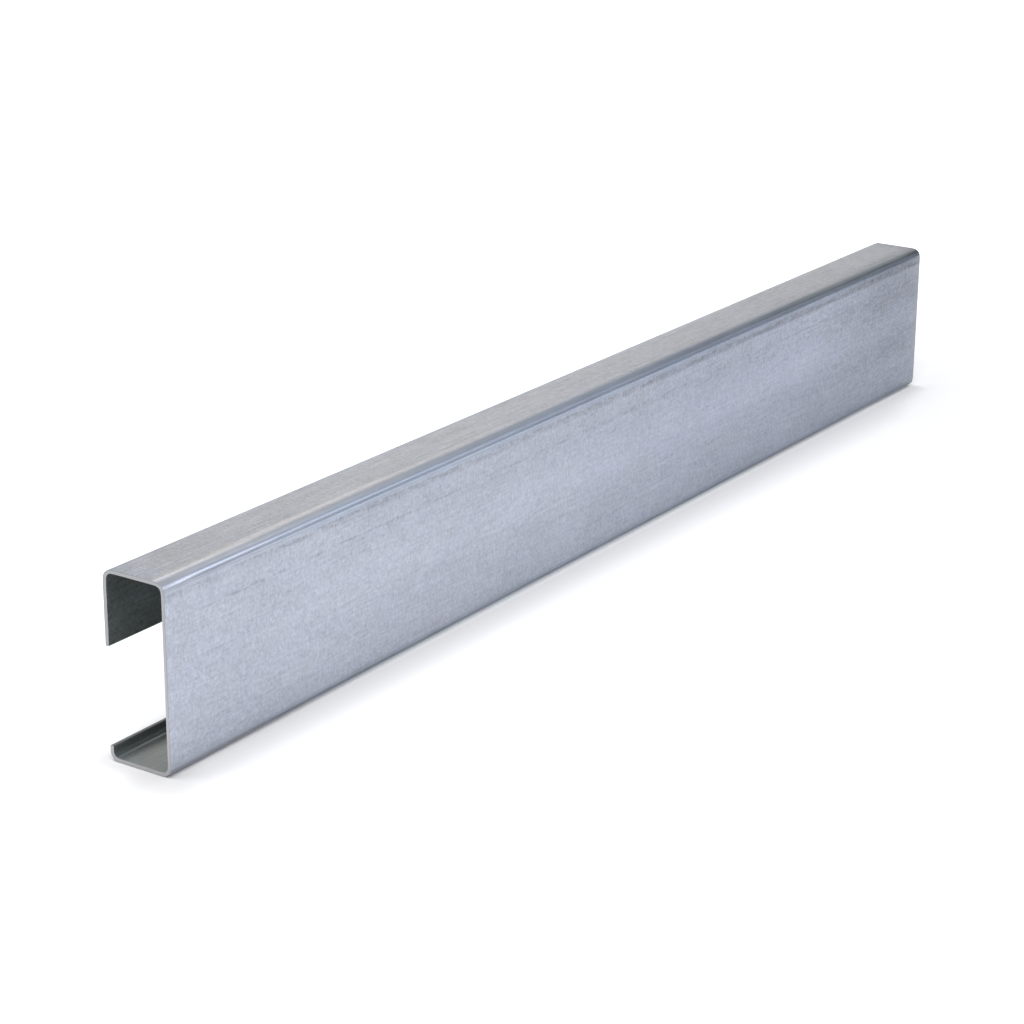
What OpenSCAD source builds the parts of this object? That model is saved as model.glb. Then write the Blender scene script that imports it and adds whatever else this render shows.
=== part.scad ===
// One length of C-purlin: a galvanised steel strip roll-formed into a web, two flanges and
// two lips, with a deep lip at the top and a short one at the bottom.
// X runs across the flanges with the web at +X, Y runs along the length and Z up the web.
// The origin is at the middle of the underside.

/* [Section] */
// Depth of the web, over both flanges
web_depth = 100; // [80:1:300]
// Width of each flange, over the web and the lip
flange_width = 38.5; // [25:0.5:100]
// Depth of the lip that hangs from the top flange, over its bend
deep_lip = 40; // [12:0.5:60]
// Height of the lip that stands on the bottom flange, over its bend
short_lip = 8; // [7:0.5:30]

/* [Strip] */
// Thickness of the steel strip
strip_thickness = 2; // [1:0.1:3.5]
// Radius on the inside of every bend
bend_inside_radius = 3; // [1:0.5:5]

/* [Length] */
// Length between the two cut ends
purlin_length = 800; // [200:10:6000]

/* [Hidden] */

// The strip keeps its thickness round each bend
bend_outside_radius = bend_inside_radius + strip_thickness;
// Clear height between the edges of the two lips
mouth_height = web_depth - deep_lip - short_lip;
// How far a cut reaches past the metal that it takes away
cut_margin = 1;
zinc_colour = [0.70, 0.73, 0.78];
// Sides of a circle in the preview
$fn = 96;

// A rectangle with round corners, standing on the X axis and centred across it
module round_rectangle(width, height, radius) {
    translate([radius - width / 2, 0])
        square([width - 2 * radius, height]);
    translate([-width / 2, radius])
        square([width, height - 2 * radius]);
    for (x = [radius - width / 2, width / 2 - radius])
        for (y = [radius, height - radius])
            translate([x, y])
                circle(r = radius);
}

// The strip as it would be if its lips met
module closed_section() {
    difference() {
        round_rectangle(flange_width, web_depth, bend_outside_radius);
        translate([0, strip_thickness])
            round_rectangle(
                flange_width - 2 * strip_thickness,
                web_depth - 2 * strip_thickness,
                bend_inside_radius
            );
    }
}

// The gap between the edges of the two lips
module mouth() {
    translate([-flange_width / 2 - cut_margin, short_lip])
        square([strip_thickness + 2 * cut_margin, mouth_height]);
}

module purlin_section() {
    difference() {
        closed_section();
        mouth();
    }
}

module c_purlin() {
    color(zinc_colour)
        rotate([90, 0, 0])
            linear_extrude(height = purlin_length, center = true)
                purlin_section();
}

c_purlin();
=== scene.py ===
import math
from collections import namedtuple

import bmesh
import bpy
from bpy.props import FloatProperty, FloatVectorProperty, PointerProperty
from mathutils import Matrix, Vector


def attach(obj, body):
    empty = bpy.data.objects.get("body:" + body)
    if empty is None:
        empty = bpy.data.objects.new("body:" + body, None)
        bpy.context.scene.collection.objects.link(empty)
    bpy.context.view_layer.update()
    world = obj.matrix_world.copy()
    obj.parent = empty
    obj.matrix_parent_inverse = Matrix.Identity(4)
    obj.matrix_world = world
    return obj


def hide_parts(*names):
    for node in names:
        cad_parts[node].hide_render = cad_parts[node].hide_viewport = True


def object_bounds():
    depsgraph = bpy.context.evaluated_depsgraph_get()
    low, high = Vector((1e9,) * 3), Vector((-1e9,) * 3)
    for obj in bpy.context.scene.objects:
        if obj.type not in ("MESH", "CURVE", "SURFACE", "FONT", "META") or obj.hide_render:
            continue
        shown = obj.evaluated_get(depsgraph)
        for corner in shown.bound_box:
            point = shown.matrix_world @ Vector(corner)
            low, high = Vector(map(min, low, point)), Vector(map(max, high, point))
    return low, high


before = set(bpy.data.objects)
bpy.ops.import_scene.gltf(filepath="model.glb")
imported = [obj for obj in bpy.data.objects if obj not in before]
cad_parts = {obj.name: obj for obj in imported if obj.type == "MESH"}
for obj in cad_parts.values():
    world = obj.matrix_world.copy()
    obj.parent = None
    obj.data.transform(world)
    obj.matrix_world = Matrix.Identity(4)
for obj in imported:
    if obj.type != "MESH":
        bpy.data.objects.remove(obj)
CAD_LOW, CAD_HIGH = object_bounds()

# A length of galvanised C-purlin as it comes off the roll former: one strip with four bends, a
# deep lip under the top flange, a short lip on the bottom flange and two sheared ends.
# X runs across the flanges with the web at +X, Y along the length and Z up. Units are metres.

bl_info = {
    "name": "Galvanised C-purlin",
    "version": (1, 0, 0),
    "blender": (4, 5, 0),
    "location": "3D View > Sidebar > Purlin",
    "description": "Rolls a C-purlin from zinc-coated strip over its frame and sets up a studio",
    "category": "Add Mesh",
}

# Names that the record and the frame know
NODE = "c_purlin"
BODY = "root"

# What the frame fixes: the purlin's length, its width over the flanges and its web depth
LENGTH = CAD_HIGH.y - CAD_LOW.y
WIDTH = CAD_HIGH.x - CAD_LOW.x
DEPTH = CAD_HIGH.z - CAD_LOW.z
MIDDLE = (CAD_LOW + CAD_HIGH) / 2

MM = 0.001
QUARTER_TURN = math.pi / 2

# How finely the strip is divided
FLAT_STEP = 1.5 * MM
LENGTH_STEP = 20 * MM
BEND_STEPS = 18
TAIL_STEPS = 5
CORNER_STEPS = 3

# The strip's own map: metres across it and along it, or along an edge and down through it
STRIP_MAP = "strip"


# ---------------------------------------------------------------- sizes and colours to change


class PurlinSizes(bpy.types.PropertyGroup):
    """Sizes of the strip that the frame's box doesn't fix."""

    thickness: FloatProperty(
        name="Strip thickness",
        description="Thickness of the steel strip",
        default=2 * MM,
        min=1 * MM,
        max=3.5 * MM,
        unit="LENGTH",
    )
    inside_radius: FloatProperty(
        name="Inside bend radius",
        description="Radius on the inside of every bend",
        default=3 * MM,
        min=1 * MM,
        max=5 * MM,
        unit="LENGTH",
    )
    deep_lip: FloatProperty(
        name="Deep lip",
        description="Depth of the lip that hangs from the top flange, over its bend",
        default=40 * MM,
        min=12 * MM,
        max=60 * MM,
        unit="LENGTH",
    )
    short_lip: FloatProperty(
        name="Short lip",
        description="Height of the lip that stands on the bottom flange, over its bend",
        default=8 * MM,
        min=7 * MM,
        max=30 * MM,
        unit="LENGTH",
    )
    ease_reach: FloatProperty(
        name="Ease reach",
        description="Length of flat beside each bend that already leans into it",
        default=5 * MM,
        min=1 * MM,
        max=12 * MM,
        unit="LENGTH",
    )
    ease_angle: FloatProperty(
        name="Ease angle",
        description="How far that stretch of flat leans before the tight part of the bend",
        default=math.radians(6),
        min=0,
        max=math.radians(15),
        unit="ROTATION",
    )
    edge_radius: FloatProperty(
        name="Slit edge radius",
        description="Rounding along the slit edges of the lips",
        default=0.35 * MM,
        min=0.1 * MM,
        max=0.9 * MM,
        unit="LENGTH",
    )
    cut_radius: FloatProperty(
        name="Cut edge radius",
        description="Rounding of the arrises at the sheared ends",
        default=0.15 * MM,
        min=0.02 * MM,
        max=0.3 * MM,
        unit="LENGTH",
    )
    cut_lean: FloatProperty(
        name="Shear lean",
        description="How far the sheared face leans back at the inside of the strip",
        default=0.1 * MM,
        min=0,
        max=0.4 * MM,
        unit="LENGTH",
    )


class ZincFinish(bpy.types.PropertyGroup):
    """Colours and texture of the zinc coat and of the bare cut steel."""

    outer_colour: FloatVectorProperty(
        name="Outer zinc",
        description="Colour of the zinc on the outside of the section",
        default=(0.450, 0.478, 0.533),
        min=0,
        max=1,
        subtype="COLOR",
    )
    # Painted reflection: the web's zinc is given a bluer colour than the rest
    web_colour: FloatVectorProperty(
        name="Web zinc",
        description="Colour of the zinc on the outside of the web, a little bluer than the rest",
        default=(0.446, 0.473, 0.549),
        min=0,
        max=1,
        subtype="COLOR",
    )
    # Painted shade: the inside's zinc is given a darker colour than the outside's, for the shade
    # inside the channel
    inner_shaded_colour: FloatVectorProperty(
        name="Inner zinc",
        description="Colour of the duller zinc on the inside of the section",
        default=(0.340, 0.370, 0.370),
        min=0,
        max=1,
        subtype="COLOR",
    )
    cut_colour: FloatVectorProperty(
        name="Cut steel",
        description="Colour of the sheared ends",
        default=(0.390, 0.395, 0.403),
        min=0,
        max=1,
        subtype="COLOR",
    )
    slit_colour: FloatVectorProperty(
        name="Slit edges",
        description="Colour of the edges of the two lips, where zinc was drawn over the slit steel",
        default=(0.280, 0.285, 0.290),
        min=0,
        max=1,
        subtype="COLOR",
    )
    roughness: FloatProperty(
        name="Zinc roughness",
        description="Roughness of the zinc on the flats",
        default=0.36,
        min=0.1,
        max=1,
        subtype="FACTOR",
    )
    metal: FloatProperty(
        name="Bright metal",
        description="How much of the skin is bright zinc, the rest being its dull grey bloom",
        default=0.75,
        min=0,
        max=1,
        subtype="FACTOR",
    )
    grain: FloatProperty(
        name="Grain size",
        description="Width of one crystal of the fine spangle",
        default=1.3 * MM,
        min=0.4 * MM,
        max=8 * MM,
        unit="LENGTH",
    )


class StudioLook(bpy.types.PropertyGroup):
    """Colour of the floor and strength of the light."""

    floor_colour: FloatVectorProperty(
        name="Floor",
        description="Colour of the studio floor",
        default=(0.80, 0.80, 0.80),
        min=0,
        max=1,
        subtype="COLOR",
    )
    floor_glow: FloatProperty(
        name="Floor glow",
        description="Light of its own that the floor shows to the eye and to metal",
        default=0.35,
        min=0,
        max=1,
    )
    ambient: FloatProperty(
        name="Ambient light",
        description="Level of the even light from all round",
        default=0.45,
        min=0,
        max=1,
    )


# ---------------------------------------------------------------- shader maths


class Shade:
    """A socket of a node tree. Arithmetic on it adds Math nodes to that tree."""

    def __init__(self, tree, socket=None):
        self.tree = tree
        self.socket = socket

    def node(self, kind, settings, sockets, output=0):
        """Adds a node, makes its settings, feeds its sockets and returns one of its outputs."""
        made = self.tree.nodes.new(kind)
        for name, value in settings.items():
            setattr(made, name, value)
        for key, value in sockets.items():
            if isinstance(value, Shade):
                self.tree.links.new(value.socket, made.inputs[key])
            else:
                made.inputs[key].default_value = value
        return Shade(self.tree, made.outputs[output])

    def maths(self, operation, *values):
        return self.node("ShaderNodeMath", {"operation": operation}, dict(enumerate(values)))

    def __add__(self, other):
        return self.maths("ADD", self, other)

    __radd__ = __add__

    def __sub__(self, other):
        return self.maths("SUBTRACT", self, other)

    def __rsub__(self, other):
        return self.maths("SUBTRACT", other, self)

    def __mul__(self, other):
        return self.maths("MULTIPLY", self, other)

    __rmul__ = __mul__

    def __truediv__(self, other):
        return self.maths("DIVIDE", self, other)

    def __abs__(self):
        return self.maths("ABSOLUTE", self)

    def ramp(self, low, high, to_low=0.0, to_high=1.0):
        """Rises smoothly from to_low to to_high as this value goes from low to high."""
        return self.node(
            "ShaderNodeMapRange",
            {"interpolation_type": "SMOOTHSTEP"},
            {0: self, 1: low, 2: high, 3: to_low, 4: to_high},
        )

    def blend(self, first, second):
        """first where this value is 0 and second where it is 1, as colours."""
        return self.node(
            "ShaderNodeMix",
            {"data_type": "RGBA"},
            {0: self, 6: first, 7: second},
            output=2,
        )

    def scaled(self, factor):
        """This colour times a value."""
        return self.node("ShaderNodeVectorMath", {"operation": "SCALE"}, {0: self, "Scale": factor})

    def tinted(self, colour):
        """This value times a fixed colour."""
        return self.node(
            "ShaderNodeVectorMath", {"operation": "SCALE"}, {0: tuple(colour), "Scale": self}
        )

    def times(self, other):
        """This colour times another."""
        return self.node("ShaderNodeVectorMath", {"operation": "MULTIPLY"}, {0: self, 1: other})

    def sibling(self, output):
        """Another output of the same node."""
        return Shade(self.tree, self.socket.node.outputs[output])


def new_shade(material):
    """Empties a material's node tree and returns a Shade to build on."""
    material.use_nodes = True
    material.node_tree.nodes.clear()
    return Shade(material.node_tree)


def show(shader, output="ShaderNodeOutputMaterial"):
    """Ends a tree in its output node."""
    shader.tree.links.new(shader.socket, shader.tree.nodes.new(output).inputs[0])


def opaque(colour):
    """A colour with full alpha."""
    return [*colour, 1.0]


# ---------------------------------------------------------------- zinc, inside and outside


# A noise on the strip: the size of its patches in millimetres across and along the strip, the
# layer and the detail of the noise, and how strongly it shows in tone, roughness and bump
Texture = namedtuple(
    "Texture", "across along layer detail tone roughness height", defaults=(2.0, 0.0, 0.0, 0.0)
)
MOTTLE = Texture(1.8, 1.6, 10, tone=0.55, roughness=0.10, height=0.4)
BLOTCH = Texture(6.0, 5.0, 15, tone=0.20)
STREAK = Texture(9.0, 0.9, 20, tone=0.26, height=0.3)
CLOUD = Texture(30.0, 45.0, 30, tone=0.16)
HAIRLINE = Texture(0.7, 60.0, 40, detail=1.0, tone=0.24)
DRAG = Texture(2.2, 14.0, 45, tone=0.22)
TINT = Texture(18.0, 40.0, 50)
# The zinc's spangle is made of crystals, with the finish's grain size
SPANGLE_SOFTNESS = 0.35
SPANGLE_TONE = 0.22
SPANGLE_ROUGHNESS = 0.08
SPANGLE_HEIGHT = 0.6

# The rolls press the grain flat in the bends, fully within the first share of a bend's half width
# and not at all past the second. They take this much of the grain and of the roughness.
BURNISH_BAND = (0.32, 0.62)
BURNISH_GRIT = 0.92
BURNISH_SHINE = 0.08
# Where the web's zinc begins, in millimetres past the flange's end, and where it starts to end,
# past the end of the flat of the web
WEB_TOP = (2.5, 6.0)
WEB_FOOT = 5.0
# The grain on the web against the flange's, and on the flange the lines along and across the strip
# against the web's
WEB_GRIT = 0.80
FLANGE_LINES = 2.0
FLANGE_CROSS_LINES = 0.3

# Casts that multiply the zinc's colour: a random tint, and painted reflection and highlight tints.
# Places along the strip are in millimetres from the front.
PLAIN = (1.0, 1.0, 1.0, 1.0)
COOL = (0.985, 1.0, 1.01, 1.0)
WARM = (1.01, 1.0, 0.995, 1.0)
TINT_BAND = (-0.2, 0.2)
# Painted reflection: the bends are tinted bluer than the flats, less so close to the front end
BEND_REFLECTION_TINT = (0.945, 1.01, 1.05, 1.0)
BEND_ALONG = (-100.0, 200.0)
# Painted reflection: the upper part of the top bend, up to these places past the flange's end, is
# tinted greener at the back
UPPER_REFLECTION_TINT = (1.0, 1.05, 0.95, 1.0)
UPPER_BAND = (7.0, 10.5)
UPPER_ALONG = (450.0, 750.0)
# Painted highlight: a band beside the bend, this far past the flange's end, is tinted warmer at the
# front
EDGE_HIGHLIGHT_TINT = (1.035, 1.0, 0.95, 1.0)
EDGE_PLACE = 3.5
EDGE_BAND = (3.0, 4.5)
EDGE_ALONG = (60.0, 400.0)
# Painted reflection: the web is tinted bluer at the back
WEB_REFLECTION_TINT = (0.975, 0.985, 1.032, 1.0)
WEB_ALONG = (200.0, 650.0)

BUMP_DISTANCE = 0.05 * MM
ZINC_BUMP = 0.25


def strip_place(shade):
    """Millimetres across the strip and along it."""
    place = shade.node("ShaderNodeUVMap", {"uv_map": STRIP_MAP}, {})
    parts = shade.node("ShaderNodeSeparateXYZ", {}, {0: place})
    return parts / MM, parts.sibling(1) / MM


def patch(shade, across, along, texture, layer=0.0):
    """Soft random patches of a texture, from -0.5 to 0.5."""
    place = shade.node(
        "ShaderNodeCombineXYZ",
        {},
        {0: across / texture.across, 1: along / texture.along, 2: layer + texture.layer},
    )
    settings = {"Vector": place, "Scale": 1.0, "Detail": texture.detail}
    return shade.node("ShaderNodeTexNoise", {}, settings) - 0.5


def crystals(shade, across, along, size, layer):
    """Random tone of each crystal of the spangle, from -0.5 to 0.5."""
    place = shade.node("ShaderNodeCombineXYZ", {}, {0: across / size, 1: along / size, 2: layer})
    colour = shade.node(
        "ShaderNodeTexVoronoi",
        {"feature": "SMOOTH_F1"},
        {"Vector": place, "Scale": 1.0, "Smoothness": SPANGLE_SOFTNESS},
        output=1,
    )
    return shade.node("ShaderNodeSeparateColor", {}, {0: colour}) - 0.5


# Places along the strip, in millimetres from the front end, at which a mark gives its tones
ALONG = (0.0, 30.0, 100.0, 300.0, 600.0, 800.0)

# A line or band along the strip, either a mark that the rolls leave, such as a scuff, or painted
# light: a painted highlight, painted reflection or painted shade. Its place, half width and the
# blur of its sides are in millimetres across the strip. It adds its tones to the zinc, one for each
# of the places ALONG. With a run it comes and goes, in stretches of about that many millimetres.
MarkOrPaintedLight = namedtuple("MarkOrPaintedLight", "place half_width blur tones run", defaults=(0,))

# All marks wander together across the strip, at most half of this many millimetres
WANDER = Texture(400.0, 120.0, 0)
WANDER_REACH = 0.5
# The breaks in a mark with a run: their width and detail, and the noise over which it comes back
BREAK_WIDTH = 2.5
BREAK_DETAIL = 4.0
BREAK_BAND = (-0.10, 0.12)


def tone_along(along, tones):
    """One tone for each place ALONG, running smoothly from one to the next."""
    tone = tones[0]
    for start, end, here, there in zip(ALONG, ALONG[1:], tones, tones[1:]):
        if there != here:
            tone = tone + along.ramp(start, end, 0.0, there - here)
    return tone


def marks_and_painted_light(shade, across, along, marks, layer):
    """Tone that all the marks and the painted light add together."""
    wander = WANDER_REACH * patch(shade, across, along, WANDER, layer)
    total = 0.0
    for number, mark in enumerate(marks):
        inner = mark.half_width - mark.blur
        outer = mark.half_width + mark.blur
        line = abs(across + wander - mark.place).ramp(inner, outer, 1.0, 0.0)
        if mark.run:
            gaps = Texture(BREAK_WIDTH, mark.run, number + 1, BREAK_DETAIL)
            line = line * patch(shade, across, along, gaps, layer).ramp(*BREAK_BAND)
        total = total + line * tone_along(along, mark.tones)
    return total


def outside_marks_and_painted_light(bends):
    """Marks on the outside of the strip, placed from the bends beside the top flange and web:
    scuffs, and painted highlights, painted reflections and painted shade.

    Their places and widths were chosen one by one. Most of their tones were solved by least squares
    in another program and rounded to 0.05, and then some were changed or added. The scuffs' tones
    were set one by one.
    """
    _, (flange_end, web_start), (web_end, _), _ = bends
    shoulder = flange_end / MM
    on_web = web_start / MM
    foot = web_end / MM
    return (
        # Painted light on the flange, and the painted pale band and painted glint beside its bend
        MarkOrPaintedLight(shoulder - 12.5, 13.0, 4.0, (0.20, 0.05, 0.10, 0.15, 0.15, 0.15)),
        MarkOrPaintedLight(shoulder + 2.2, 1.8, 1.4, (0.30, 0.20, 0.45, 0.20, 0.15, 0.05)),
        MarkOrPaintedLight(shoulder + 4.0, 1.0, 0.8, (0.80, 0.55, -0.05, -0.05, -0.10, 0.10)),
        # Painted reflection on the upper half of the bend: light at the front, painted shade
        # towards the back
        MarkOrPaintedLight(shoulder + 5.4, 0.4, 0.4, (0.40, 0.20, 0.10, -0.05, -0.20, 0.10)),
        MarkOrPaintedLight(shoulder + 6.6, 0.8, 0.4, (0.20, 0.15, 0.10, -0.05, -0.20, 0.20)),
        MarkOrPaintedLight(shoulder + 7.8, 0.4, 0.4, (0.20, 0.00, 0.05, 0.00, -0.20, -0.05)),
        # The painted highlight on its lower half, which dies away and comes back towards the back
        MarkOrPaintedLight(shoulder + 8.6, 0.4, 0.4, (0.70, 0.40, 0.15, 0.00, 0.35, 0.30)),
        MarkOrPaintedLight(shoulder + 9.0, 0.2, 0.2, (0.00, -0.40, -0.40, -0.10, -0.05, 0.00)),
        MarkOrPaintedLight(shoulder + 9.4, 0.4, 0.4, (0.65, 0.05, -0.05, 0.05, 0.40, 0.60)),
        MarkOrPaintedLight(shoulder + 10.2, 0.4, 0.4, (0.20, 0.10, 0.30, 0.25, 0.20, 0.05)),
        # The painted dark reflection line and the painted shade of the band under it
        MarkOrPaintedLight(shoulder + 10.7, 0.4, 0.4, (-0.30, -0.30, -0.25, -0.30, -0.30, -0.30)),
        MarkOrPaintedLight(shoulder + 11.5, 0.4, 0.4, (0.00, 0.00, 0.00, -0.10, -0.15, -0.20)),
        MarkOrPaintedLight(on_web - 2.0, 2.2, 1.0, (-0.10, -0.05, -0.10, -0.10, -0.25, -0.20)),
        # Painted shade on the web's upper, middle and lower part, all darker towards the back
        MarkOrPaintedLight(on_web + 6.0, 16.0, 14.0, (-0.05, -0.05, -0.05, -0.10, -0.25, -0.55)),
        MarkOrPaintedLight(on_web + 36.0, 16.0, 14.0, (-0.05, -0.05, 0.00, 0.00, -0.10, -0.40)),
        MarkOrPaintedLight(on_web + 72.0, 24.0, 12.0, (-0.05, -0.05, -0.05, -0.10, -0.20, -0.30)),
        # Painted reflection and shade on the bottom bend: its dark upper line, its middle and its
        # paler lower line
        MarkOrPaintedLight(foot + 4.6, 0.9, 0.7, (-0.05, -0.10, -0.15, -0.15, -0.10, -0.10)),
        MarkOrPaintedLight(foot + 6.2, 0.7, 0.5, (-0.30, -0.40, -0.50, -0.50, -0.45, -0.35)),
        MarkOrPaintedLight(foot + 7.2, 0.5, 0.5, (-0.20, -0.35, -0.50, -0.30, -0.35, -0.15)),
        MarkOrPaintedLight(foot + 8.2, 0.5, 0.5, (0.45, 0.30, -0.05, 0.10, -0.05, 0.20)),
        # Scuffs
        MarkOrPaintedLight(on_web - 2.3, 1.2, 0.6, (-0.10, -0.10, -0.15, -0.15, -0.10, -0.10), 12.0),
        MarkOrPaintedLight(on_web + 10.3, 0.7, 0.4, (-0.05, -0.10, -0.20, -0.15, -0.10, -0.05), 15.0),
        MarkOrPaintedLight(on_web + 34.0, 0.7, 0.4, (-0.05,) * len(ALONG), 12.0),
        MarkOrPaintedLight(on_web + 45.0, 0.8, 0.4, (-0.05,) * len(ALONG), 12.0),
        MarkOrPaintedLight(on_web + 64.0, 0.7, 0.4, (-0.05,) * len(ALONG), 15.0),
        MarkOrPaintedLight(on_web + 69.0, 0.9, 0.5, (-0.05,) * len(ALONG), 15.0),
    )


def inside_painted_shade(bends):
    """Painted shade on the inside of the strip: both lips are painted darker than the flanges and
    the web.
    """
    (deep_end, _), _, _, (_, short_start) = bends
    return (
        MarkOrPaintedLight(deep_end / MM / 2, 24.0, 8.0, (-0.58,) * len(ALONG)),
        MarkOrPaintedLight(short_start / MM + 1.0, 6.0, 3.0, (-0.45,) * len(ALONG)),
    )


# What sets one side's zinc apart: its colours off and on the web, how strong its grain is against
# the outside's, the layer of the noise that it uses, and its marks and painted light
ZincSide = namedtuple("ZincSide", "name colour web_colour grit layer marks")
# The noise of the marks lies this many layers past the side's own
MARKS_LAYER = 60


def burnish_of(across, bends):
    """How far the rolls have pressed the grain flat, from 0 on the flats to 1 in a bend."""
    burnish = 0.0
    for start, end in bends:
        middle = (start + end) / 2 / MM
        inner, outer = [share * (end - start) / 2 / MM for share in BURNISH_BAND]
        burnish = burnish + abs(across - middle).ramp(inner, outer, 1.0, 0.0)
    return burnish


def web_mask(across, bends):
    """1 on the web and 0 on the flanges and lips."""
    _, (flange_end, _), (web_end, bottom_start), _ = bends
    top = across.ramp(*[flange_end / MM + past for past in WEB_TOP])
    return top * across.ramp(web_end / MM + WEB_FOOT, bottom_start / MM, 1.0, 0.0)


def tints_and_painted_casts(across, along, on_web, burnish, tint, bends):
    """The casts that multiply the zinc's colour, one after the other: a random tint, then the
    painted reflection and highlight tints.
    """
    _, (flange_end, _), _, _ = bends
    shoulder = flange_end / MM
    upper = across.ramp(*[shoulder + past for past in UPPER_BAND], 1.0, 0.0)
    bend_reflection_tint = (upper * along.ramp(*UPPER_ALONG)).blend(BEND_REFLECTION_TINT, UPPER_REFLECTION_TINT)
    edge = abs(across - shoulder - EDGE_PLACE).ramp(*EDGE_BAND, 1.0, 0.0)
    return (
        tint.ramp(*TINT_BAND).blend(COOL, WARM),
        (burnish * along.ramp(*BEND_ALONG)).blend(PLAIN, bend_reflection_tint),
        (edge * along.ramp(*EDGE_ALONG, 1.0, 0.0)).blend(PLAIN, EDGE_HIGHLIGHT_TINT),
        (on_web * along.ramp(*WEB_ALONG)).blend(PLAIN, WEB_REFLECTION_TINT),
    )


def zinc(side, finish, bends):
    """Material of one side of the strip: fine spangle, lines of the rolls, and its marks and
    painted light.
    """
    material = bpy.data.materials.new(side.name)
    shade = new_shade(material)
    across, along = strip_place(shade)
    layer = side.layer
    burnish = burnish_of(across, bends)
    on_web = web_mask(across, bends)
    grit = side.grit * (1.0 - BURNISH_GRIT * burnish) * on_web.ramp(0.0, 1.0, 1.0, WEB_GRIT)
    # The flange shows more lines along the strip and the web more across it
    lines = on_web.ramp(0.0, 1.0, FLANGE_LINES * side.grit, 1.0)
    cross_lines = on_web.ramp(0.0, 1.0, FLANGE_CROSS_LINES, 1.0)

    spangle = crystals(shade, across, along, finish.grain / MM, layer)
    mottle = patch(shade, across, along, MOTTLE, layer)
    blotch = patch(shade, across, along, BLOTCH, layer)
    streak = patch(shade, across, along, STREAK, layer)
    cloud = patch(shade, across, along, CLOUD, layer)
    hairline = patch(shade, across, along, HAIRLINE, layer)
    drag = patch(shade, across, along, DRAG, layer)
    tint = patch(shade, across, along, TINT, layer)

    grain = (
        SPANGLE_TONE * spangle
        + MOTTLE.tone * mottle
        + BLOTCH.tone * blotch
        + STREAK.tone * cross_lines * streak
    )
    tone = (
        1.0
        + grit * grain
        + CLOUD.tone * cloud
        + lines * (HAIRLINE.tone * hairline + DRAG.tone * drag)
        + marks_and_painted_light(shade, across, along, side.marks, layer + MARKS_LAYER)
    )
    skin = on_web.blend(opaque(side.colour), opaque(side.web_colour))
    for cast in tints_and_painted_casts(across, along, on_web, burnish, tint, bends):
        skin = skin.times(cast)
    roughness = (
        finish.roughness
        - BURNISH_SHINE * burnish
        + grit * (MOTTLE.roughness * mottle + SPANGLE_ROUGHNESS * spangle)
    )
    height = grit * (SPANGLE_HEIGHT * spangle + MOTTLE.height * mottle + STREAK.height * streak)
    normal = shade.node(
        "ShaderNodeBump", {}, {"Strength": ZINC_BUMP, "Distance": BUMP_DISTANCE, "Height": height}
    )
    surface = shade.node(
        "ShaderNodeBsdfPrincipled",
        {},
        {
            "Base Color": skin.scaled(tone),
            "Metallic": finish.metal,
            "Roughness": roughness,
            "Normal": normal,
        },
    )
    show(surface)
    return material


# Cut steel: its torn grain, its pits, and the arris down to which the zinc was dragged over it
TEAR = Texture(0.25, 1.5, 5.0, tone=0.3)
PITS = Texture(0.5, 0.3, 15.0, tone=0.2, roughness=0.2)
ARRIS_BAND = (0.1, 0.4)
ARRIS_TONE = 0.82
CUT_METAL = 0.8
CUT_ROUGHNESS = 0.5
CUT_BUMP = 0.3
# Painted light on the cut steel: how bright it is painted, from the start of its stretch to the end
CUT_LIGHT_TONES = (0.92, 1.16)
# The stretch of painted light starts this many millimetres before the web
CUT_LIGHT_LEAD = 30.0


def bare_steel(name, colour, lit_stretch=None):
    """Cut steel, torn in the shearing, with a darker arris where the zinc was dragged over it.

    It is painted brighter from one place to another on the way round the section, as painted light.
    """
    material = bpy.data.materials.new(name)
    shade = new_shade(material)
    along, depth = strip_place(shade)
    tear = patch(shade, along, depth, TEAR)
    pits = patch(shade, along, depth, PITS)
    arris = depth.ramp(*ARRIS_BAND, ARRIS_TONE, 1.0)
    tone = 1.0 + TEAR.tone * tear + PITS.tone * pits
    if lit_stretch:
        tone = tone * along.ramp(*lit_stretch, *CUT_LIGHT_TONES)
    roughness = CUT_ROUGHNESS + PITS.roughness * pits
    normal = shade.node(
        "ShaderNodeBump", {}, {"Strength": CUT_BUMP, "Distance": BUMP_DISTANCE, "Height": tear}
    )
    surface = shade.node(
        "ShaderNodeBsdfPrincipled",
        {},
        {
            "Base Color": (arris * tone).tinted(colour),
            "Metallic": CUT_METAL,
            "Roughness": roughness,
            "Normal": normal,
        },
    )
    show(surface)
    return material


# ---------------------------------------------------------------- the rolled strip

Move = namedtuple("Move", "length turn")
Bend = namedtuple("Bend", "reach moves")
Station = namedtuple("Station", "across point heading")
ProfilePoint = namedtuple("ProfilePoint", "point outward across depth")


def turned(angle):
    """Unit vector across the section at an angle from +X towards +Z."""
    return Vector((math.cos(angle), 0, math.sin(angle)))


def flat_lengths(sizes):
    """The flats between the bends, from the deep lip round to the short lip."""
    outside_radius = sizes.inside_radius + sizes.thickness
    flange = WIDTH - 2 * outside_radius
    web = DEPTH - 2 * outside_radius
    return sizes.deep_lip - outside_radius, flange, web, flange, sizes.short_lip - outside_radius


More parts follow.
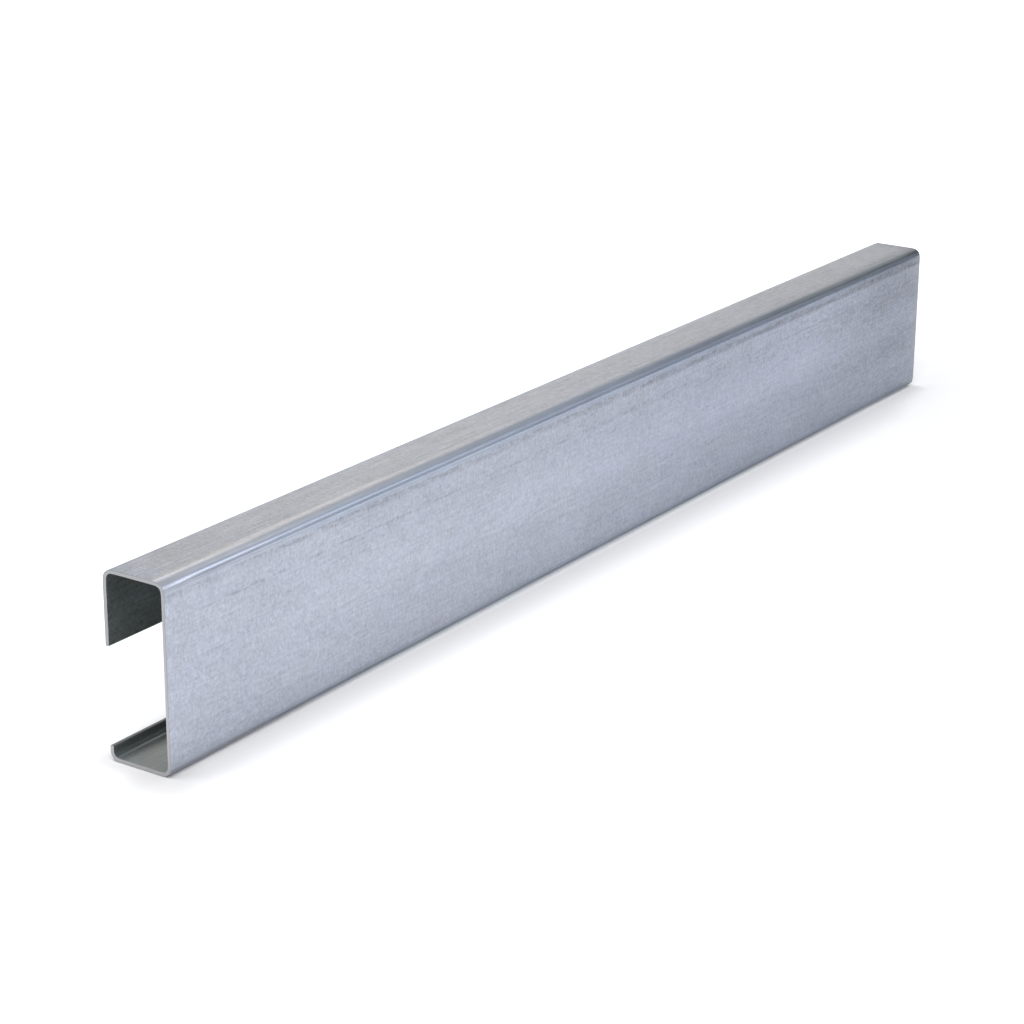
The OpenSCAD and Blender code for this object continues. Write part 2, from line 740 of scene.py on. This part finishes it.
def roll_bend(sizes, flat_before, flat_after):
    """Moves round one bend: a flat leans in bit by bit, turns tightly and leans out again."""
    reach = min(sizes.ease_reach, flat_before / 2, flat_after / 2)
    angle = sizes.ease_angle * reach / sizes.ease_reach
    tail = []
    forward = inward = heading = 0.0
    for step in range(TAIL_STEPS):
        turn = angle * (2 * step + 1) / TAIL_STEPS**2
        tail.append(Move(reach / TAIL_STEPS, turn))
        forward += tail[-1].length * math.cos(heading + turn / 2)
        inward += tail[-1].length * math.sin(heading + turn / 2)
        heading += turn
    middle_radius = sizes.inside_radius + sizes.thickness / 2
    radius = (reach + middle_radius - forward - inward) / (math.cos(angle) - math.sin(angle))
    turn = (QUARTER_TURN - 2 * angle) / BEND_STEPS
    tight = [Move(2 * radius * math.sin(turn / 2), turn)] * BEND_STEPS
    return Bend(reach, tail + tight + tail[::-1])


def strip_moves(sizes):
    """All moves from one slit edge to the other, with where each bend begins and ends."""
    flats = flat_lengths(sizes)
    bends = [roll_bend(sizes, before, after) for before, after in zip(flats, flats[1:])]
    reaches = [sizes.edge_radius] + [bend.reach for bend in bends] + [sizes.edge_radius]
    moves = []
    spans = []
    for number, flat in enumerate(flats):
        clear = flat - reaches[number] - reaches[number + 1]
        steps = max(1, round(clear / FLAT_STEP))
        moves += [Move(clear / steps, 0.0)] * steps
        if number < len(bends):
            start = sum(move.length for move in moves)
            moves += bends[number].moves
            spans.append((start, sum(move.length for move in moves)))
    return moves, spans


def strip_stations(sizes):
    """Walks the middle of the strip from the deep lip's edge to the short lip's edge."""
    moves, _ = strip_moves(sizes)
    edge = CAD_HIGH.z - sizes.deep_lip + sizes.edge_radius
    point = Vector((CAD_LOW.x + sizes.thickness / 2, 0, edge))
    heading = QUARTER_TURN
    across = 0.0
    stations = [Station(across, point, heading)]
    for move in moves:
        point = point + turned(heading - move.turn / 2) * move.length
        heading -= move.turn
        across += move.length
        stations.append(Station(across, point, heading))
    return stations


def slit_edge(sizes, station, way):
    """The rounded edge of a lip, from the side that comes first on the way round the loop."""
    out = turned(station.heading + QUARTER_TURN) * way
    end = turned(station.heading) * way
    reach = sizes.thickness / 2 - sizes.edge_radius
    points = []
    for side in (1, -1):
        centre = station.point + out * reach * side
        for step in range(1, CORNER_STEPS + 1):
            angle = QUARTER_TURN * step / CORNER_STEPS
            if side < 0:
                angle = QUARTER_TURN * (1 - (step - 1) / CORNER_STEPS)
            outward = out * side * math.cos(angle) + end * math.sin(angle)
            point = centre + outward * sizes.edge_radius
            depth = sizes.thickness / 2 - (point - station.point).dot(out) * way
            points.append(ProfilePoint(point, outward, station.across, depth))
    return points


def strip_profile(sizes):
    """Closed loop round the strip: outer skin, short lip's edge, inner skin, deep lip's edge."""
    stations = strip_stations(sizes)
    outer = []
    inner = []
    for station in stations:
        out = turned(station.heading + QUARTER_TURN)
        half = out * sizes.thickness / 2
        outer.append(ProfilePoint(station.point + half, out, station.across, 0.0))
        inner.append(ProfilePoint(station.point - half, -out, station.across, sizes.thickness))
    inner.reverse()
    short_edge = slit_edge(sizes, stations[-1], 1)
    deep_edge = slit_edge(sizes, stations[0], -1)
    return outer, short_edge, inner, deep_edge


def length_rings(sizes):
    """Places along the length, each with how far its loop is drawn in to round the cut arris."""
    arris = []
    for step in range(CORNER_STEPS + 1):
        angle = QUARTER_TURN * step / CORNER_STEPS
        arris.append(
            (sizes.cut_radius * (1 - math.cos(angle)), sizes.cut_radius * (1 - math.sin(angle)))
        )
    clear = LENGTH - 2 * sizes.cut_radius
    steps = round(clear / LENGTH_STEP)
    rings = [(CAD_LOW.y + back, drawn) for back, drawn in arris]
    for step in range(1, steps):
        rings.append((CAD_LOW.y + sizes.cut_radius + clear * step / steps, 0.0))
    for back, drawn in reversed(arris):
        rings.append((CAD_HIGH.y - back, drawn))
    return rings


# Materials of the strip, in the order of their slots
OUTSIDE, INSIDE, SHEARED, SLIT = range(4)

# The two of a point's places, across, along and down through the strip, that a face's map takes
SKIN_MAP = (0, 1)
END_MAP = (0, 2)
SLIT_MAP = (1, 2)


class StripMesh:
    """Builds the strip's faces over a grid of points: rings along it and spots round each ring."""

    def __init__(self, sizes):
        outer, short_edge, inner, deep_edge = strip_profile(sizes)
        self.outer = len(outer)
        self.inner_start = len(outer) + len(short_edge)
        self.inner_end = self.inner_start + len(inner)
        self.loop = outer + short_edge + inner + deep_edge
        self.zones = (
            [OUTSIDE] * (len(outer) - 1)
            + [SLIT] * (len(short_edge) + 1)
            + [INSIDE] * (len(inner) - 1)
            + [SLIT] * (len(deep_edge) + 1)
        )
        self.mesh = bmesh.new()
        self.layer = self.mesh.loops.layers.uv.new(STRIP_MAP)
        # Metres across the strip, along it and down through it, for each point
        self.places = {}
        self.grid = []
        rings = length_rings(sizes)
        for number, (along, drawn) in enumerate(rings):
            # The sheared faces lean into the strip, so the two ends lean opposite ways
            lean = sizes.cut_lean / sizes.thickness
            if CORNER_STEPS < number < len(rings) - 1 - CORNER_STEPS:
                lean = 0.0
            elif number > CORNER_STEPS:
                lean = -lean
            self.grid.append([self.add_point(spot, along, drawn, lean) for spot in self.loop])

    def add_point(self, spot, along, drawn, lean):
        """Adds the point of a ring at a spot of the loop, drawn in and leaning back."""
        place = spot.point - spot.outward * drawn
        point = self.mesh.verts.new((place.x, along + lean * spot.depth, place.z))
        self.places[point] = (spot.across, along - CAD_LOW.y, spot.depth)
        return point

    def add_face(self, points, material, smooth, columns):
        """Adds a face whose map takes two columns of its points' places."""
        face = self.mesh.faces.new(points)
        face.material_index = material
        face.smooth = smooth
        for corner in face.loops:
            place = self.places[corner.vert]
            corner[self.layer].uv = (place[columns[0]], place[columns[1]])

    def add_skin(self):
        """The faces between the rings, with the rounded arrises as part of the sheared ends."""
        last = len(self.grid) - 1
        for number in range(last):
            at_end = number < CORNER_STEPS or number >= last - CORNER_STEPS
            for here, zone in enumerate(self.zones):
                there = (here + 1) % len(self.loop)
                near = self.grid[number]
                far = self.grid[number + 1]
                points = [near[here], far[here], far[there], near[there]]
                if at_end:
                    self.add_face(points, SHEARED, True, END_MAP)
                elif zone == SLIT:
                    self.add_face(points, SLIT, True, SLIT_MAP)
                else:
                    self.add_face(points, zone, True, SKIN_MAP)

    def add_caps(self):
        """The two sheared ends: quads between outside and inside, and one face in each lip edge."""
        patches = []
        for here in range(self.outer - 1):
            across_from = self.inner_end - 1 - here
            patches.append((here, here + 1, across_from - 1, across_from))
        patches.append(range(self.outer - 1, self.inner_start + 1))
        patches.append([*range(self.inner_end - 1, len(self.loop)), 0])
        for spots in patches:
            front = [self.grid[0][spot] for spot in spots]
            back = [self.grid[-1][spot] for spot in reversed(spots)]
            self.add_face(front, SHEARED, False, END_MAP)
            self.add_face(back, SHEARED, False, END_MAP)

    def finished(self):
        """The strip as mesh data. The builder can't be used after this."""
        data = bpy.data.meshes.new("purlin_strip")
        self.mesh.normal_update()
        self.mesh.to_mesh(data)
        self.mesh.free()
        return data


def roll_strip(sizes):
    """The whole strip as one closed mesh."""
    strip = StripMesh(sizes)
    strip.add_skin()
    strip.add_caps()
    return strip.finished()


class PURLIN_OT_roll_strip(bpy.types.Operator):
    """Rolls the purlin from one strip and gives it its zinc and its cut edges."""

    bl_idname = "purlin.roll_strip"
    bl_label = "Roll the purlin"

    def execute(self, context):
        sizes = context.scene.purlin_sizes
        finish = context.scene.purlin_finish
        piece = bpy.data.objects.new("purlin_strip", roll_strip(sizes))
        context.scene.collection.objects.link(piece)
        _, bends = strip_moves(sizes)
        outside = ZincSide(
            "zinc_outside", finish.outer_colour, finish.web_colour, 1.0, 0.0, outside_marks_and_painted_light(bends)
        )
        # Painted shade: the inside gets the darker inner colour and darker lips
        inside = ZincSide(
            "zinc_inside", finish.inner_shaded_colour, finish.inner_shaded_colour, 0.5, 100.0, inside_painted_shade(bends)
        )
        piece.data.materials.append(zinc(outside, finish, bends))
        piece.data.materials.append(zinc(inside, finish, bends))
        _, (_, web_start), (web_end, _), _ = bends
        # Painted light: the sheared ends are painted brighter from the top flange down to the foot
        # of the web
        lit_stretch = (web_start / MM - CUT_LIGHT_LEAD, web_end / MM)
        piece.data.materials.append(bare_steel("sheared_steel", finish.cut_colour, lit_stretch))
        piece.data.materials.append(bare_steel("slit_steel", finish.slit_colour))
        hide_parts(NODE)
        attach(piece, BODY)
        return {"FINISHED"}


# ---------------------------------------------------------------- the studio

# Softboxes and cards stand round the purlin, on a compass where 0 is straight behind it (+Y) and 90
# is off the web's side (+X). Brightness 1 is the light of a white surface. A softbox that isn't
# mirrored lights the strip but never shows in the metal. Except for bend_top's, the brightness and
# colours were solved by least squares in another program and rounded, and some were changed
# afterwards.
Softbox = namedtuple(
    "Softbox",
    "name bearing height distance width tall brightness colour mirrored",
    defaults=(True,),
)
SOFTBOXES = (
    Softbox("overhead", 180, 72, 1.5, 0.9, 0.9, 3.9, (0.98, 0.98, 1.02), False),
    Softbox("web_side", 145, 45, 1.2, 0.5, 0.5, 5.0, (1.01, 0.99, 0.99)),
    Softbox("front_left", -135, 35, 2.6, 1.4, 1.2, 2.6, (1.0, 1.0, 1.0)),
    Softbox("back_right", 38, 32, 2.8, 0.7, 0.9, 1.1, (0.91, 0.97, 1.12)),
    Softbox("bend_light", 52, 26, 2.6, 0.6, 0.45, 2.6, (0.98, 1.0, 1.03)),
    Softbox("bend_top", 0, 50, 2.6, 1.6, 0.4, 0.6, (0.97, 1.0, 1.03)),
    Softbox("back_left", -43, 23, 2.8, 0.9, 0.7, 0.56, (1.16, 1.0, 0.84)),
    Softbox("back_left_low", -27, 15, 2.8, 0.7, 0.8, 0.33, (1.15, 1.0, 0.85)),
)

# A dark card low behind the far end, which only the metal sees, draws the dark line of the bend.
# Its brightness was solved with the softboxes' and then changed.
Card = namedtuple("Card", "name bearing height distance width tall brightness")
CARDS = (Card("dark_card", 13.4, 12.0, 1.68, 1.24, 0.8, 0.05),)

FLOOR_RADIUS = 60.0
FLOOR_SIDES = 96
FLOOR_GAP = 0.1 * MM
GLOW_COLOUR = (0.92, 0.96, 1.00)

# The floor's glow grows with the distance from the purlin, so that it keeps its shadow. Distance
# counts double on the lips' side, and twelvefold behind or, for the open floor, double.
SIDE_FACTOR = 2.0
BACK_FACTOR = 12.0
# It counts more beside the far end of the web, where the shadow narrows, and double in front of
# the purlin except at the web's side, where the shadow widens
FAR_CORNER = (CAD_HIGH.y - 80 * MM, CAD_HIGH.y)
FAR_CORNER_FACTOR = 2.5
FRONT_CORNER = (-10 * MM, 12 * MM)
# A little of the glow starts under the purlin's edge, more at the back than at the front
CONTACT_BAND = (-6 * MM, 0)
CONTACT_FRONT = 0.13
CONTACT_BACK = 0.54
# The rest of it comes over the width of the shadow
SHADOW_BAND = (4 * MM, 40 * MM)
# The open floor adds more
OPEN_BAND = (100 * MM, 900 * MM)
OPEN_GLOW = 2.0
# A pocket of light lies right under the edge. It comes up along the front part of the purlin and
# falls to a share of itself along the back part.
POCKET_BAND = (-4.5 * MM, 3 * MM)
POCKET_GLOW = 0.70
POCKET_FRONT = (-20 * MM, 220 * MM)
POCKET_BACK = (350 * MM, 800 * MM)
POCKET_BACK_SHARE = 0.50
# A glimmer lies on the floor close behind the far end, up to just past the web
BEHIND_GLOW = 0.20
BEHIND_START = (CAD_HIGH.y + 1 * MM, CAD_HIGH.y + 8 * MM)
BEHIND_END = (CAD_HIGH.y + 30 * MM, CAD_HIGH.y + 60 * MM)
BEHIND_SIDE = (CAD_HIGH.x - 10 * MM, CAD_HIGH.x + 5 * MM)
# Painted shadow: the floor's paint is a little darker round the web's front foot
FOOT_SHADOW_DIM = 0.12
FOOT_SPOT = (CAD_HIGH.x + 3 * MM, CAD_LOW.y - 10 * MM, CAD_LOW.z)
FOOT_BAND = (5 * MM, 35 * MM)

# The camera looks at a spot on the web, nearer the front end than the middle. Its place, angles and
# lens were solved in another program.
LENS = 93.35
SENSOR = 36.0
CAMERA_BEARING = 33.991
CAMERA_HEIGHT = 19.452
CAMERA_ROLL = 0.383
CAMERA_DISTANCE = 1.47876
CAMERA_REACH = (0.05, 60)
AIM_AHEAD = 0.11021
AIM_HEIGHT = 0.05193
AIM = Vector((CAD_HIGH.x, MIDDLE.y - AIM_AHEAD, CAD_LOW.z + AIM_HEIGHT))


def facing(bearing, height):
    """Unit vector from the purlin towards a bearing and a height above the floor, in degrees."""
    turn = math.radians(bearing)
    lift = math.radians(height)
    flat = math.cos(lift)
    return Vector((math.sin(turn) * flat, math.cos(turn) * flat, math.sin(lift)))


def add_softbox(context, box):
    """Hangs an area lamp that faces the purlin."""
    area = box.width * box.tall
    lamp = bpy.data.lights.new(box.name, "AREA")
    lamp.shape = "RECTANGLE"
    lamp.size = box.width
    lamp.size_y = box.tall
    lamp.energy = box.brightness * area * math.pi
    lamp.color = box.colour
    made = bpy.data.objects.new(box.name, lamp)
    direction = facing(box.bearing, box.height)
    made.location = MIDDLE + direction * box.distance
    made.rotation_euler = direction.to_track_quat("Z", "Y").to_euler()
    made.visible_camera = False
    made.visible_glossy = box.mirrored
    context.scene.collection.objects.link(made)


def add_card(context, card):
    """Stands up a card that faces the purlin and that only mirrors see."""
    mesh = bmesh.new()
    bmesh.ops.create_grid(mesh, x_segments=1, y_segments=1, size=0.5)
    data = bpy.data.meshes.new(card.name)
    mesh.to_mesh(data)
    mesh.free()
    material = bpy.data.materials.new(card.name)
    shade = new_shade(material)
    show(shade.node("ShaderNodeEmission", {}, {"Strength": card.brightness}))
    data.materials.append(material)
    made = bpy.data.objects.new(card.name, data)
    direction = facing(card.bearing, card.height)
    made.location = MIDDLE + direction * card.distance
    made.rotation_euler = direction.to_track_quat("Z", "Y").to_euler()
    made.scale = (card.width, card.tall, 1)
    made.visible_camera = False
    made.visible_diffuse = False
    made.visible_shadow = False
    made.visible_transmission = False
    context.scene.collection.objects.link(made)


def clear_distance(shade, across, along, back_factor):
    """Weighted distance from the purlin's rectangle on the floor, below zero inside it."""
    to_web_side = (across - CAD_HIGH.x) * along.ramp(*FAR_CORNER, 1.0, FAR_CORNER_FACTOR)
    to_lip_side = SIDE_FACTOR * (CAD_LOW.x - across)
    side = shade.maths("MAXIMUM", to_web_side, to_lip_side)
    to_front = across.ramp(*FRONT_CORNER, SIDE_FACTOR, 1.0) * (CAD_LOW.y - along)
    to_back = back_factor * (along - CAD_HIGH.y)
    end = shade.maths("MAXIMUM", to_front, to_back)
    inside = shade.maths("MINIMUM", shade.maths("MAXIMUM", side, end), 0.0)
    corner = shade.node(
        "ShaderNodeCombineXYZ",
        {},
        {0: shade.maths("MAXIMUM", side, 0.0), 1: shade.maths("MAXIMUM", end, 0.0)},
    )
    outside = shade.node("ShaderNodeVectorMath", {"operation": "LENGTH"}, {0: corner}, "Value")
    return outside + inside


def floor_material(studio):
    """Matt paint with a glow that the eye and metal see, which lights nothing else."""
    material = bpy.data.materials.new("studio_floor")
    shade = new_shade(material)
    camera_ray = shade.node("ShaderNodeLightPath", {}, {}, output="Is Camera Ray")
    seen = camera_ray.maths("MAXIMUM", camera_ray, camera_ray.sibling("Is Glossy Ray"))
    seen = seen.maths("MAXIMUM", seen, camera_ray.sibling("Is Transmission Ray"))
    place = shade.node("ShaderNodeNewGeometry", {}, {})
    # Painted shadow: the floor's paint is darker round the web's front foot
    from_foot = shade.node(
        "ShaderNodeVectorMath", {"operation": "DISTANCE"}, {0: place, 1: FOOT_SPOT}, "Value"
    )
    shadowed_paint = from_foot.ramp(*FOOT_BAND, 1.0 - FOOT_SHADOW_DIM, 1.0).tinted(studio.floor_colour)
    paint = shade.node("ShaderNodeBsdfDiffuse", {}, {"Color": shadowed_paint})
    across = shade.node("ShaderNodeSeparateXYZ", {}, {0: place})
    along = across.sibling(1)
    distance = clear_distance(shade, across, along, BACK_FACTOR)
    open_distance = clear_distance(shade, across, along, SIDE_FACTOR)
    contact = along.ramp(CAD_LOW.y, CAD_HIGH.y, CONTACT_FRONT, CONTACT_BACK)
    from_front = along - CAD_LOW.y
    pocket = (
        from_front.ramp(*POCKET_FRONT) * from_front.ramp(*POCKET_BACK, 1.0, POCKET_BACK_SHARE)
    )
    behind = along.ramp(*BEHIND_START) * along.ramp(*BEHIND_END, 1.0, 0.0)
    spread = (
        POCKET_GLOW * pocket * distance.ramp(*POCKET_BAND, 1.0, 0.0)
        + BEHIND_GLOW * behind * across.ramp(*BEHIND_SIDE, 1.0, 0.0)
        + contact * distance.ramp(*CONTACT_BAND)
        + (1.0 - contact) * distance.ramp(*SHADOW_BAND)
        + OPEN_GLOW * open_distance.ramp(*OPEN_BAND)
    )
    glow = shade.node(
        "ShaderNodeEmission",
        {},
        {"Color": opaque(GLOW_COLOUR), "Strength": studio.floor_glow * seen * spread},
    )
    show(shade.node("ShaderNodeAddShader", {}, {0: paint, 1: glow}))
    return material


def add_floor(context, studio):
    """Lays a round floor just under the purlin."""
    mesh = bmesh.new()
    bmesh.ops.create_circle(mesh, cap_ends=True, segments=FLOOR_SIDES, radius=FLOOR_RADIUS)
    data = bpy.data.meshes.new("studio_floor")
    mesh.to_mesh(data)
    mesh.free()
    floor = bpy.data.objects.new("studio_floor", data)
    floor.location = (MIDDLE.x, MIDDLE.y, CAD_LOW.z - FLOOR_GAP)
    data.materials.append(floor_material(studio))
    context.scene.collection.objects.link(floor)


def add_world(context, studio):
    """Gives the even light from all round."""
    world = bpy.data.worlds.new("studio")
    context.scene.world = world
    shade = new_shade(world)
    settings = {"Color": PLAIN, "Strength": studio.ambient}
    show(shade.node("ShaderNodeBackground", {}, settings), "ShaderNodeOutputWorld")
    # Only rays that leave a surface find the even light, so that the cards hide it from metal
    world.cycles.sampling_method = "NONE"


def add_camera(context):
    """Sets up the camera and makes it the scene's."""
    lens = bpy.data.cameras.new("studio_camera")
    lens.lens = LENS
    lens.sensor_width = SENSOR
    lens.clip_start, lens.clip_end = CAMERA_REACH
    camera = bpy.data.objects.new("studio_camera", lens)
    back = facing(180 - CAMERA_BEARING, CAMERA_HEIGHT)
    turn = back.to_track_quat("Z", "Y").to_matrix().to_4x4()
    roll = Matrix.Rotation(math.radians(CAMERA_ROLL), 4, "Z")
    camera.matrix_world = Matrix.Translation(AIM + back * CAMERA_DISTANCE) @ turn @ roll
    context.scene.collection.objects.link(camera)
    context.scene.camera = camera


class PURLIN_OT_set_stage(bpy.types.Operator):
    """Lays the floor and sets the softboxes, the even light and the camera."""

    bl_idname = "purlin.set_stage"
    bl_label = "Set the studio"

    def execute(self, context):
        studio = context.scene.purlin_studio
        add_floor(context, studio)
        add_world(context, studio)
        for box in SOFTBOXES:
            add_softbox(context, box)
        for card in CARDS:
            add_card(context, card)
        add_camera(context)
        context.scene.view_settings.view_transform = "Standard"
        return {"FINISHED"}


# ---------------------------------------------------------------- sidebar and registration


class PURLIN_PT_sidebar(bpy.types.Panel):
    """Lists the sizes, the colours and the two steps that build the scene."""

    bl_idname = "PURLIN_PT_sidebar"
    bl_label = "C-purlin"
    bl_space_type = "VIEW_3D"
    bl_region_type = "UI"
    bl_category = "Purlin"

    def draw(self, context):
        scene = context.scene
        for group in (scene.purlin_sizes, scene.purlin_finish, scene.purlin_studio):
            box = self.layout.box()
            for name in group.bl_rna.properties.keys():
                if name not in ("rna_type", "name"):
                    box.prop(group, name)
        self.layout.operator(PURLIN_OT_roll_strip.bl_idname)
        self.layout.operator(PURLIN_OT_set_stage.bl_idname)


CLASSES = (
    PurlinSizes,
    ZincFinish,
    StudioLook,
    PURLIN_OT_roll_strip,
    PURLIN_OT_set_stage,
    PURLIN_PT_sidebar,
)


def register():
    for kind in CLASSES:
        bpy.utils.register_class(kind)
    bpy.types.Scene.purlin_sizes = PointerProperty(type=PurlinSizes)
    bpy.types.Scene.purlin_finish = PointerProperty(type=ZincFinish)
    bpy.types.Scene.purlin_studio = PointerProperty(type=StudioLook)


def unregister():
    del bpy.types.Scene.purlin_studio
    del bpy.types.Scene.purlin_finish
    del bpy.types.Scene.purlin_sizes
    for kind in reversed(CLASSES):
        bpy.utils.unregister_class(kind)


def main():
    register()
    bpy.ops.purlin.set_stage()
    bpy.ops.purlin.roll_strip()


if __name__ == "__main__":
    main()
